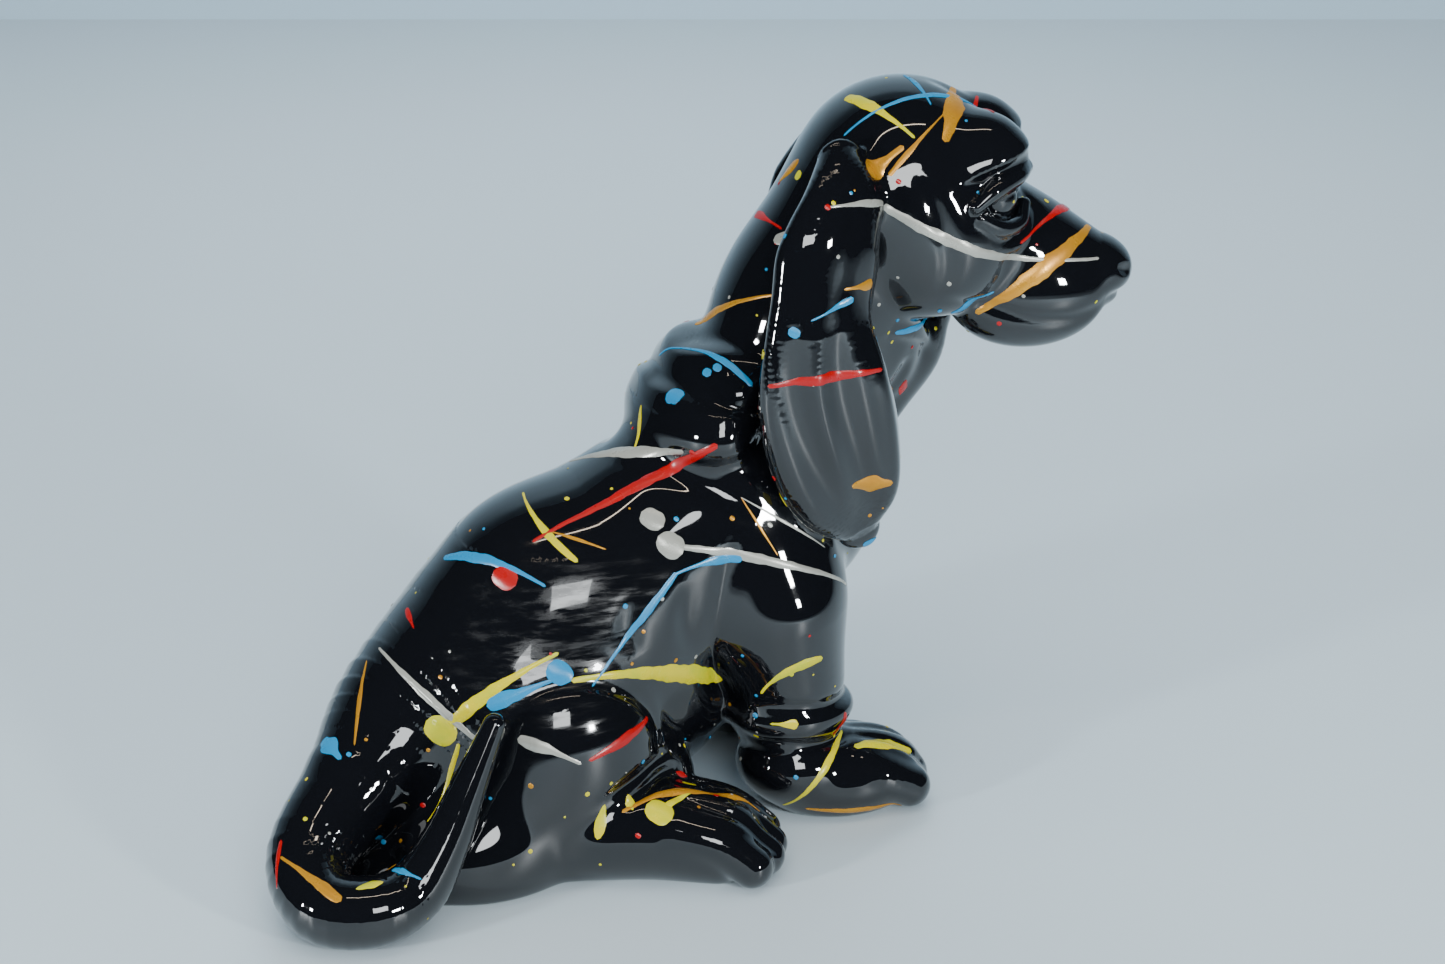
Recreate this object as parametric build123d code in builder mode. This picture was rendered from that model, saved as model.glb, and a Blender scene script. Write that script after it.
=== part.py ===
from build123d import *
from collections import namedtuple
from math import cos, radians, sin
import os

# A sitting hound, slip-cast in glazed ceramic. Millimetres and degrees throughout.
# +Z is up. The hound faces -Y and its right side is -X. The origin is on the table,
# at the middle of the flat seat. Every piece is cast apart and luted to its neighbours
# before firing, so each one is cut to the face of the piece that it is stuck to.

# Level sections of the torso. front and back are places along Y.
Ring = namedtuple("Ring", "height front back width")
body_height = 172      # table to the withers
neck_length = 35       # withers to the narrowest part of the neck
skull_forward = 165    # seat's middle to the skull's middle, along -Y
seat_width = 92
hip_width = 104
chest_width = 94
neck_width = 74
neck_height = body_height + neck_length
seat = Ring(height=0, front=-42, back=51, width=seat_width)
rump = Ring(height=body_height * 0.14, front=-54, back=64, width=hip_width)
hips = Ring(height=body_height * 0.30, front=-88, back=64, width=hip_width)
loin = Ring(height=body_height * 0.49, front=-142, back=50, width=chest_width + 6)
chest = Ring(height=body_height * 0.65, front=-153, back=26, width=chest_width)
shoulder = Ring(height=body_height * 0.83, front=-161, back=-18, width=chest_width - 6)
withers = Ring(height=body_height, front=-166, back=-62, width=chest_width - 14)
neck = Ring(neck_height, -skull_forward - 11, -skull_forward + 77, neck_width)
nape = Ring(neck_height + 25, -skull_forward - 13, -skull_forward + 57, neck_width - 4)
neck_end = Ring(neck_height + 40, -skull_forward - 7, -skull_forward + 41, neck_width - 28)
torso_rings = [seat, rump, hips, loin, chest, shoulder, withers, neck, nape, neck_end]
wall = 4.5             # cast wall, measured level
vent_diameter = 12     # hole in the seat that lets air out in the kiln
vent_from_origin = 24

# Upright sections of the head, across its own axis. reach is measured forward from
# the middle of the skull, and lift is from there up to the section's centre.
Slice = namedtuple("Slice", "reach lift width height")
head_turn = 25         # the head looks towards the hound's right
skull_height = neck_height + 37
skull_aside = 4
skull_width = 82
muzzle_width = 50
back_of_skull = Slice(reach=-39, lift=4, width=30, height=34)
poll = Slice(reach=-27, lift=2, width=62, height=66)
crown = Slice(reach=0, lift=0, width=skull_width, height=94)
brow = Slice(reach=36, lift=-4, width=skull_width - 8, height=84)
stop = Slice(reach=53, lift=-25, width=muzzle_width + 8, height=72)
lips = Slice(reach=68, lift=-33, width=muzzle_width, height=60)
nose = Slice(reach=88, lift=-33, width=34, height=38)
nose_tip = Slice(reach=96, lift=-30, width=16, height=18)
head_slices = [back_of_skull, poll, crown, brow, stop, lips, nose, nose_tip]
throat_length = 50     # opening between the neck and the skull, along Y
throat_width = 44

# Level sections of the limp ears, from the root down. aside is towards the ear's side.
# The upper half hangs from the skull and the lower half rests on the chest.
Lobe = namedtuple("Lobe", "height forward aside length thickness")
ear_thickness = 18
ear_length = 50        # along the body
ear_drop = 148         # root to tip
ear_root_height = skull_height + 20
ear_tip_height = ear_root_height - ear_drop
skull_side = skull_width / 2
chest_side = chest_width / 2
right_ear_lobes = [
    Lobe(ear_root_height, skull_forward - 40, skull_side - 2, 16, ear_thickness - 6),
    Lobe(ear_root_height - ear_drop * 0.16, skull_forward - 45, skull_side + 2,
         ear_length - 20, ear_thickness - 2),
    Lobe(ear_root_height - ear_drop * 0.39, skull_forward - 50, skull_side + 4,
         ear_length - 8, ear_thickness),
    Lobe(ear_tip_height + ear_drop * 0.4, skull_forward - 47, chest_side,
         ear_length, ear_thickness),
    Lobe(ear_tip_height + ear_drop * 0.2, skull_forward - 40, chest_side + 1,
         ear_length - 4, ear_thickness),
    Lobe(ear_tip_height + 8, skull_forward - 33, chest_side - 1, 30, ear_thickness - 2),
    Lobe(ear_tip_height, skull_forward - 32, chest_side - 3, 16, ear_thickness - 8),
]
left_ear_lobes = [
    Lobe(ear_root_height, skull_forward - 3, skull_side + 1, 16, ear_thickness - 6),
    Lobe(ear_root_height - ear_drop * 0.16, skull_forward - 9, skull_side + 3,
         ear_length - 20, ear_thickness - 2),
    Lobe(ear_root_height - ear_drop * 0.39, skull_forward - 19, skull_side + 2,
         ear_length - 8, ear_thickness),
    Lobe(ear_tip_height + ear_drop * 0.4, skull_forward - 26, chest_side - 4,
         ear_length, ear_thickness),
    Lobe(ear_tip_height + ear_drop * 0.2, skull_forward - 26, chest_side - 3,
         ear_length - 4, ear_thickness),
    Lobe(ear_tip_height + 8, skull_forward - 23, chest_side - 4, 30, ear_thickness - 2),
    Lobe(ear_tip_height, skull_forward - 22, chest_side - 6, 16, ear_thickness - 8),
]

# Level sections of the limbs use Lobe as well. aside is from the middle of the body.
foreleg_length = 46
foreleg_width = 40
foreleg_inset = 13     # side of the chest to the middle of the leg
foreleg_aside = chest_side - foreleg_inset
foreleg_lobes = [
    Lobe(0, 110, foreleg_aside + 2, foreleg_length, foreleg_width - 4),
    Lobe(30, 108, foreleg_aside + 1, foreleg_length, foreleg_width - 2),
    Lobe(64, 103, foreleg_aside, foreleg_length + 6, foreleg_width + 4),
    Lobe(96, 101, foreleg_aside - 1, foreleg_length + 10, foreleg_width + 2),
    Lobe(126, 102, foreleg_aside - 3, foreleg_length - 16, foreleg_width - 18),
]
thigh_length = 72
thigh_width = 46
thigh_inset = 8        # side of the hips to the middle of the thigh
thigh_aside = hip_width / 2 - thigh_inset
thigh_side = thigh_aside + thigh_width / 2
thigh_lobes = [
    Lobe(0, 8, thigh_aside + 5, thigh_length - 14, thigh_width - 16),
    Lobe(22, 10, thigh_aside + 2, thigh_length, thigh_width - 2),
    Lobe(48, 11, thigh_aside, thigh_length, thigh_width),
    Lobe(70, 9, thigh_aside - 3, thigh_length - 14, thigh_width - 10),
    Lobe(86, 7, thigh_aside - 6, thigh_length - 44, thigh_width - 28),
]

# Upright sections of a paw, across its own axis. reach is from the ankle.
Pad = namedtuple("Pad", "reach width height")
pad_roundness = 0.96   # height of a paw's section over its width
forepaw_width = 38
forepaw_length = 59
forepaw_turn = 8
forepaw_pads = [
    Pad(0, forepaw_width, 34),
    Pad(forepaw_length - 30, forepaw_width + 2, 31),
    Pad(forepaw_length - 12, forepaw_width, 25),
    Pad(forepaw_length - 3, forepaw_width - 10, 18),
    Pad(forepaw_length, forepaw_width - 22, 11),
]
hindpaw_width = 40
hindpaw_length = 85
hindpaw_turn = 27
hindpaw_pads = [
    Pad(0, hindpaw_width - 2, 36),
    Pad(hindpaw_length - 42, hindpaw_width - 2, 32),
    Pad(hindpaw_length - 18, hindpaw_width + 2, 27),
    Pad(hindpaw_length - 4, hindpaw_width - 10, 19),
    Pad(hindpaw_length, hindpaw_width - 24, 11),
]

# The tail leaves the spine, curls round on the table to the hound's right, and its tip
# lies up against the thigh. Each stop has a place and the tail's diameter there.
Stop = namedtuple("Stop", "forward aside height diameter")
tail_stops = [
    Stop(-50, 8, 52, 44),
    Stop(-76, 22, 36, 36),
    Stop(-93, 42, 21, 30),
    Stop(-94, thigh_side - 7, 14, 27),
    Stop(-75, thigh_side + 4, 13, 25),
    Stop(-54, thigh_side + 1, 22, 21),
    Stop(-43, thigh_side - 3, 36, 18),
    Stop(-34, thigh_side - 7, 55, 14),
    Stop(-26, thigh_side - 10, 72, 9),
]


def across(turn, aside, forward, height, reach=0):
    """Upright plane across an axis that is turned to the hound's right, at a reach."""
    axis = Vector(-sin(radians(turn)), -cos(radians(turn)), 0)
    side = Vector(cos(radians(turn)), -sin(radians(turn)), 0)
    start = Vector(-aside, -forward, height)
    return Plane(origin=start + axis * reach, x_dir=side, z_dir=axis)


def ring_faces(rings, shrink=0):
    """Level ellipses of the torso, as sections for a loft."""
    faces = []
    for ring in rings:
        with BuildSketch(Plane.XY.offset(ring.height)) as section:
            with Locations((0, (ring.front + ring.back) / 2)):
                Ellipse(ring.width / 2 - shrink, (ring.back - ring.front) / 2 - shrink)
        faces.append(section.sketch.face())
    return faces


def slice_faces(slices, shrink=0):
    """Upright ellipses of the turned head, as sections for a loft."""
    faces = []
    for cut in slices:
        height = skull_height + cut.lift
        plane = across(head_turn, skull_aside, skull_forward, height, cut.reach)
        with BuildSketch(plane) as section:
            Ellipse(cut.width / 2 - shrink, cut.height / 2 - shrink)
        faces.append(section.sketch.face())
    return faces


def lobe_faces(lobes, side, shrink=0):
    """Level ellipses of a limb or an ear. side is -1 on the hound's right."""
    faces = []
    for lobe in lobes:
        with BuildSketch(Plane.XY.offset(lobe.height)) as section:
            with Locations((side * lobe.aside, -lobe.forward)):
                Ellipse(lobe.thickness / 2 - shrink, lobe.length / 2 - shrink)
        faces.append(section.sketch.face())
    return faces


def pad_faces(pads, side, turn, aside, forward):
    """Upright ellipses of a paw, whose lowest part is under the table."""
    faces = []
    for pad in pads:
        middle = pad.height - pad.width / 2 * pad_roundness
        plane = across(-side * turn, -side * aside, forward, middle, pad.reach)
        with BuildSketch(plane) as section:
            Ellipse(pad.width / 2, pad.width / 2 * pad_roundness)
        faces.append(section.sketch.face())
    return faces


def finish(piece, name):
    """Label a piece and write its file."""
    piece.part.label = name
    export_step(piece.part, f"parts/{name}.step")


def make_solid(faces):
    """The outer form of a piece, before its neighbours are cut from it."""
    with BuildPart() as form:
        loft(faces)
    return form.part


def make_torso(head_form):
    """Rump, back, chest and neck in one hollow casting, coped to the skull."""
    inside = [seat._replace(height=wall)] + torso_rings[1:]
    with BuildPart() as torso:
        loft(ring_faces(torso_rings))
        loft(ring_faces(inside, wall), mode=Mode.SUBTRACT)
        with Locations((0, vent_from_origin, wall / 2)):
            Cylinder(vent_diameter / 2, wall * 2, mode=Mode.SUBTRACT)
        add(head_form, mode=Mode.SUBTRACT)
    return torso


def make_head():
    """Skull, muzzle and jowls in one hollow casting, open into the neck."""
    throat = (neck.front + neck.back) / 2
    hollow = [poll, crown, brow, stop, lips]
    with BuildPart() as head:
        loft(slice_faces(head_slices))
        loft(slice_faces(hollow, wall), mode=Mode.SUBTRACT)
        with BuildSketch(Plane.XY.offset(skull_height)):
            with Locations((0, throat)):
                Ellipse(throat_width / 2, throat_length / 2)
        extrude(amount=-crown.height, mode=Mode.SUBTRACT)
    return head


def make_ear(lobes, side, torso_form, head_form):
    """A limp ear, stuck to the side of the head and resting on the neck."""
    with BuildPart() as ear:
        loft(lobe_faces(lobes, side))
        add([torso_form, head_form], mode=Mode.SUBTRACT)
    return ear


def make_leg(lobes, pads, turn, side, torso_form):
    """A hollow leg on a solid paw, with a flat sole."""
    foot = lobes[0]
    hollow = [foot._replace(height=foot.height + wall)] + lobes[1:]
    with BuildPart() as leg:
        loft(lobe_faces(lobes, side))
        loft(pad_faces(pads, side, turn, foot.aside, foot.forward))
        split(bisect_by=Plane.XY)
        loft(lobe_faces(hollow, side, wall), mode=Mode.SUBTRACT)
        add(torso_form, mode=Mode.SUBTRACT)
    return leg


def stop_faces(stops):
    """Round sections square to the tail's path."""
    places = [Vector(-stop.aside, -stop.forward, stop.height) for stop in stops]
    before = [places[0]] + places[:-1]
    after = places[1:] + [places[-1]]
    faces = []
    for stop, place, last, following in zip(stops, places, before, after):
        with BuildSketch(Plane(origin=place, z_dir=following - last)) as section:
            Circle(stop.diameter / 2)
        faces.append(section.sketch.face())
    return faces


def make_tail(torso_form, thigh):
    """The tail, which lies in a loop on the table."""
    with BuildPart() as tail:
        loft(stop_faces(tail_stops))
        split(bisect_by=Plane.XY)
        add([torso_form, thigh], mode=Mode.SUBTRACT)
    return tail


os.makedirs("parts", exist_ok=True)
torso_form = make_solid(ring_faces(torso_rings))
head_form = make_solid(slice_faces(head_slices))

torso = make_torso(head_form)
head = make_head()
finish(torso, "torso")
finish(head, "head")
for side, name, lobes in [(-1, "right", right_ear_lobes), (1, "left", left_ear_lobes)]:
    ear = make_ear(lobes, side, torso_form, head_form)
    foreleg = make_leg(foreleg_lobes, forepaw_pads, forepaw_turn, side, torso_form)
    hind_leg = make_leg(thigh_lobes, hindpaw_pads, hindpaw_turn, side, torso_form)
    finish(ear, f"{name}_ear")
    finish(foreleg, f"{name}_foreleg")
    finish(hind_leg, f"{name}_hind_leg")
    if side == -1:
        tail = make_tail(torso_form, hind_leg.part)
        finish(tail, "tail")
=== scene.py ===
import math
import random

import bpy
import numpy as np
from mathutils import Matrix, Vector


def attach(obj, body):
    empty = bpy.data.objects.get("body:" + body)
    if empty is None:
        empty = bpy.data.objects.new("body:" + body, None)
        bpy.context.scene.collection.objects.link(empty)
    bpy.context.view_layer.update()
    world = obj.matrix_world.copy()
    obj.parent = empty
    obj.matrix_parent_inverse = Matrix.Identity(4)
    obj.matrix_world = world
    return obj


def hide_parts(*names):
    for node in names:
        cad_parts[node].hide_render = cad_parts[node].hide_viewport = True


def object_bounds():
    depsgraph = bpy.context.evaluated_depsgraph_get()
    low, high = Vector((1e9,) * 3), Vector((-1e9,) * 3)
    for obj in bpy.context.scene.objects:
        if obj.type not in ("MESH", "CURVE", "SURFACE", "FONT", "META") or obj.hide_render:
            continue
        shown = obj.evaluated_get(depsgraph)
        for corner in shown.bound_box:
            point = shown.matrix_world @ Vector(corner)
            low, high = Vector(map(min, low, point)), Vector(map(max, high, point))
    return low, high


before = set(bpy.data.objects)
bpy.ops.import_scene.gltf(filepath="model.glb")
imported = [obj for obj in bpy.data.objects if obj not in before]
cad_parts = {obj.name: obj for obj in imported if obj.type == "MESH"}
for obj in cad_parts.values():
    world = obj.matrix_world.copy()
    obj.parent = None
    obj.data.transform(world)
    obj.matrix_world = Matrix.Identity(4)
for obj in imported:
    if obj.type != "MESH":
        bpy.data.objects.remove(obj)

import openvdb
from mathutils import Vector

MM = 0.001
cad_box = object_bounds()

# ------------------------------------------------------------------ where things are
# The hound is drawn in millimetres forward, right and up from the point on the table
# under its chest, and stretches with the CAD model's box. Inside the shape functions a
# point is (-right, -forward, up), the row's own axes.
DRAWN_SIZE = np.array([199.55, 367.75, 292.73])   # the CAD box for which it was drawn
TAIL_END = 207.37                              # how far the CAD tail reaches behind the chest
low_corner = np.array(cad_box[0]) / MM
high_corner = np.array(cad_box[1]) / MM
stretch = (high_corner - low_corner) / DRAWN_SIZE
chest_point = np.array([
    (low_corner[0] + high_corner[0]) / 2,
    high_corner[1] - TAIL_END * stretch[1],
    low_corner[2],
])

HEAD_TURN = 25          # the head looks towards the hound's right, in degrees
HEAD_FORWARD = 70       # middle of the skull
HEAD_RIGHT = 4


def spot(forward, right, up):
    """A place on the hound."""
    return np.array([-right, -forward, up], float)


def head_spot(forward, right, up):
    """A place on the head, measured along the way it looks from the middle of the skull."""
    turn = math.radians(HEAD_TURN)
    return spot(
        HEAD_FORWARD + forward * math.cos(turn) - right * math.sin(turn),
        HEAD_RIGHT + forward * math.sin(turn) + right * math.cos(turn),
        up,
    )


UP = spot(0, 0, 1)


def axes(turn=0, pitch=0, roll=0):
    """Forward, right and up of a form that is turned right, pitched up and rolled right."""
    t, p, w = (math.radians(a) for a in (turn, pitch, roll))
    forward = spot(math.cos(t) * math.cos(p), math.sin(t) * math.cos(p), math.sin(p))
    right = spot(-math.sin(t), math.cos(t), 0)
    up = np.cross(right, forward)
    if up[2] < 0:
        up = -up
    right, up = right * math.cos(w) - up * math.sin(w), up * math.cos(w) + right * math.sin(w)
    return np.stack([forward, right, up], 1)


def to_row(points):
    """Drawn millimetres to metres in the row frame."""
    return (points * stretch + chest_point) * MM


# ------------------------------------------------------------------ shapes as distances
# A shape is (function, lowest corner, highest corner). The function gives each point's
# distance from the surface in millimetres, negative inside.
MARGIN = 16.0           # how far outside a shape its distance still matters
FAR = 60.0


def ball(place, forward, right, up, turn=0, pitch=0, roll=0):
    """An ellipsoid with those radii."""
    radii = np.array([forward, right, up], float)
    frame_of = axes(turn, pitch, roll)

    def distance(points):
        inside = (points - place) @ frame_of
        scaled = np.linalg.norm(inside / radii, axis=1)
        slope = np.linalg.norm(inside / (radii * radii), axis=1)
        return scaled * (scaled - 1) / np.maximum(slope, 1e-9)

    reach = np.sqrt(((frame_of * radii) ** 2).sum(1)) + MARGIN
    return distance, place - reach, place + reach


def head_ball(forward, right, up, *radii, turn=0, pitch=0, roll=0):
    return ball(head_spot(forward, right, up), *radii, HEAD_TURN + turn, pitch, roll)


def smooth_rows(rows, steps):
    """Rows of numbers along a Catmull-Rom curve through the given rows."""
    rows = np.array(rows, float)
    rows = np.vstack([2 * rows[0] - rows[1], rows, 2 * rows[-1] - rows[-2]])
    out = []
    for a, b, c, d in zip(rows, rows[1:], rows[2:], rows[3:]):
        for t in np.arange(steps) / steps:
            square, cube = t * t, t * t * t
            out.append(0.5 * (2 * b + (c - a) * t + (2 * a - 5 * b + 4 * c - d) * square
                              + (3 * b - a - 3 * c + d) * cube))
    return np.array(out + [rows[-2]])


def nearest_on(points, rows):
    """For each point, the squared distance to a chain of rows, the gap from the nearest
    place on it, and the row's last value there."""
    best = np.full(len(points), 1e9)
    value = np.zeros(len(points))
    gaps = np.zeros_like(points)
    for start, end in zip(rows[:-1], rows[1:]):
        run = end[:3] - start[:3]
        offset = points - start[:3]
        t = np.clip(offset @ run / (run @ run + 1e-9), 0, 1)
        gap = offset - t[:, None] * run
        square = np.einsum("ij,ij->i", gap, gap)
        closer = square < best
        best[closer] = square[closer]
        gaps[closer] = gap[closer]
        value[closer] = (start[3] + (end[3] - start[3]) * t)[closer]
    return best, gaps, value


def limb(*stops, flat=1.0, steps=5):
    """A round tube through stops of (place, radius), flattened across the body by flat."""
    squash = np.array([flat, 1, 1])
    rows = smooth_rows([list(place * squash) + [radius] for place, radius in stops], steps)

    def distance(points):
        square, _, radius = nearest_on(points * squash, rows)
        return (np.sqrt(square) - radius) / (1 + 0.5 * (flat - 1))

    reach = rows[:, 3].max() + MARGIN
    low, high = rows[:, :3].min(0) - reach, rows[:, :3].max(0) + reach
    return distance, low / squash, high / squash


def fading(places):
    """A smooth chain of rows through the places, whose strength fades towards both ends."""
    along = np.linspace(0, math.pi, len(places))
    strength = np.clip(1.6 * np.sin(along), 0.1, 1)
    return smooth_rows([list(place) + [w] for place, w in zip(places, strength)], 8)


def furrow(depth, width, places):
    """A soft crease along the places, or a raised fold where depth is negative."""
    rows = fading(places)

    def press(points):
        square, _, strength = nearest_on(points, rows)
        return depth * strength * np.exp(-square / (width * width))

    reach = width * 2.6
    return press, rows[:, :3].min(0) - reach, rows[:, :3].max(0) + reach


def lip(height, sharp, run, toward, places):
    """The edge of a layer of skin that lies over the skin beyond it. The surface rises
    over run millimetres to the places, and drops beyond them over sharp."""
    rows = fading(places)
    toward = toward / np.linalg.norm(toward)

    def press(points):
        square, gap, strength = nearest_on(points, rows)
        side = gap @ toward
        reach = np.where(side > 0, sharp, run)
        rest = np.maximum(square - side * side, 0) / (run * run)
        return -height * strength * np.exp(-(side / reach) ** 2 - rest)

    reach = run * 2.6
    return press, rows[:, :3].min(0) - reach, rows[:, :3].max(0) + reach


def slope_of(function, points, step=0.15):
    """The gradient of a distance function."""
    taps = np.array([[1, -1, -1], [-1, -1, 1], [-1, 1, -1], [1, 1, 1]], float)
    total = np.zeros_like(points)
    for tap in taps:
        total += tap * function(points + tap * step)[:, None]
    return total / (4 * step)


def settle(function, points, rounds, limit=40):
    """Points moved onto the surface where a distance function is nought."""
    points = np.array(points, float)
    for _ in range(rounds):
        slope = slope_of(function, points)
        length = np.einsum("ij,ij->i", slope, slope)[:, None]
        move = slope / np.maximum(length, 0.05) * function(points)[:, None]
        points -= np.clip(move, -limit, limit)
    return points


def join(a, b, blend):
    """Union of two distances, filleted over about blend millimetres."""
    near = np.maximum(blend - np.abs(a - b), 0) / blend
    return np.minimum(a, b) - near ** 3 * blend / 6


class Form:
    """One casting's shapes, joined in order, with the creases pressed into them."""

    def __init__(self, name, fillet):
        self.name = name
        self.fillet = fillet      # to the castings before it
        self.steps = []

    def add(self, shape, blend=8.0):
        self.steps.append((shape, blend, "join"))

    def carve(self, shape, blend=3.0):
        self.steps.append((shape, blend, "carve"))

    def crease(self, depth, width, *places):
        shape = furrow(depth, width, settle(self, places, 3))
        self.steps.append((shape, 0, "press"))

    def layer(self, height, sharp, run, toward, *places):
        shape = lip(height, sharp, run, toward, settle(self, places, 3))
        self.steps.append((shape, 0, "press"))

    def corners(self):
        lows = [shape[1] for shape, _, kind in self.steps if kind == "join"]
        highs = [shape[2] for shape, _, kind in self.steps if kind == "join"]
        return np.min(lows, 0), np.max(highs, 0)

    def __call__(self, points):
        out = np.full(len(points), FAR)
        for (function, low, high), blend, kind in self.steps:
            near = np.all((points >= low) & (points <= high), axis=1)
            if not near.any():
                continue
            value = function(points[near])
            if kind == "join":
                out[near] = join(out[near], value, blend)
            elif kind == "carve":
                out[near] = -join(-out[near], value, blend)
            else:
                out[near] += value
        return out


# ------------------------------------------------------------------ the hound's castings
TAIL_ROOT = [(spot(-106, 0, 66), 41), (spot(-138, 6, 54), 31), (spot(-163, 22, 41), 21)]
TAIL_REST = [(spot(-188, 41, 24), 17), (spot(-190, 62, 15), 14.5), (spot(-174, 73, 14), 13.5),
             (spot(-157, 71, 18), 12), (spot(-144, 68, 33), 9.5), (spot(-132, 64, 53), 7),
             (spot(-120, 60, 74), 4.5)]


def make_torso():
    form = Form("torso", 1)
    form.add(ball(spot(-93, 0, 52), 57, 56, 56), 1)
    form.add(ball(spot(-52, 0, 88), 74, 49, 48, pitch=50), 30)
    form.add(ball(spot(-74, 0, 92), 50, 44, 48), 24)                # back
    form.add(ball(spot(-45, 0, 58), 50, 42, 50), 20)                # belly
    form.add(ball(spot(0, 0, 118), 48, 45, 52), 30)
    form.add(ball(spot(28, 0, 128), 40, 37, 50), 20)
    form.add(ball(spot(34, 0, 196), 36, 38, 60, pitch=-22), 22)
    form.add(ball(spot(60, 4, 186), 24, 24, 30), 18)
    form.add(ball(spot(-128, 5, 28), 38, 36, 36), 16)               # under the tail's root
    form.add(ball(spot(-142, 28, 4), 36, 28, 17), 12)
    form.add(limb(*TAIL_ROOT), 22)
    # loose skin over the withers, one layer lying on the next
    form.add(ball(spot(-14, -1, 161), 22, 41, 16), 13)
    form.add(ball(spot(-4, -2, 177), 20, 36, 15), 13)
    form.layer(3.6, 2.5, 8, UP, spot(22, 34, 184), spot(10, 28, 187), spot(-4, 18, 190),
               spot(-16, 8, 192), spot(-20, -2, 192), spot(-16, -12, 192), spot(-4, -22, 190),
               spot(10, -30, 187))
    form.layer(3.6, 2.5, 8, UP, spot(14, 40, 164), spot(2, 34, 168), spot(-12, 25, 172),
               spot(-26, 12, 176), spot(-30, -2, 177), spot(-26, -14, 176), spot(-12, -27, 172),
               spot(2, -38, 168))
    for side in (-1, 1):
        form.crease(1.6, 5, spot(-50, 8 * side, 152), spot(-38, 26 * side, 152),
                    spot(-20, 42 * side, 144), spot(-4, 48 * side, 134))
        # the foreleg's edge, and the slack skin behind it
        form.crease(3, 5, spot(-16, 49 * side, 124), spot(-17, 51 * side, 108),
                    spot(-16, 52 * side, 90), spot(-14, 48 * side, 66), spot(-10, 40 * side, 44))
        form.crease(1.6, 5, spot(-34, 50 * side, 112), spot(-36, 50 * side, 94),
                    spot(-30, 46 * side, 78))
        form.crease(1.4, 5, spot(-56, 50 * side, 112), spot(-62, 54 * side, 98),
                    spot(-58, 52 * side, 86))
    # dewlap under the throat
    form.add(limb((spot(88, 6, 190), 9), (spot(82, 8, 176), 10), (spot(70, 8, 160), 9),
                  (spot(60, 6, 142), 7)), 8)
    for side in (-1, 1):
        form.layer(2.6, 2, 6, spot(0, 0, -1), spot(58, 6 + 28 * side, 196),
                   spot(68, 6 + 22 * side, 192), spot(78, 6 + 15 * side, 187),
                   spot(86, 6 + 8 * side, 180))
        form.crease(2.6, 3.5, spot(70, 6 + 22 * side, 182), spot(68, 6 + 24 * side, 170),
                    spot(60, 6 + 22 * side, 156))
    return form


RIGHT_EAR_ROOT = [(34, 32, 266, 7), (30, 41, 252, 14), (23, 46, 234, 19)]
RIGHT_EAR_DROP = [(18, 50, 208, 22), (19, 52, 184, 27), (24, 52, 160, 27.5), (31, 50, 139, 22.5),
                  (38, 47, 122, 9)]
LEFT_EAR_ROOT = [(72, -32, 266, 7), (70, -41, 252, 14), (64, -46, 234, 19)]
LEFT_EAR_DROP = [(57, -46, 208, 22), (53, -46, 184, 26), (50, -47, 160, 27), (50, -46, 139, 22.5),
                 (53, -43, 122, 9)]


def ear_limb(stops):
    """Stops are (forward, right, up, half breadth)."""
    return limb(*[(spot(f, r, z), breadth) for f, r, z, breadth in stops],
                flat=2.2, steps=12)


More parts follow.
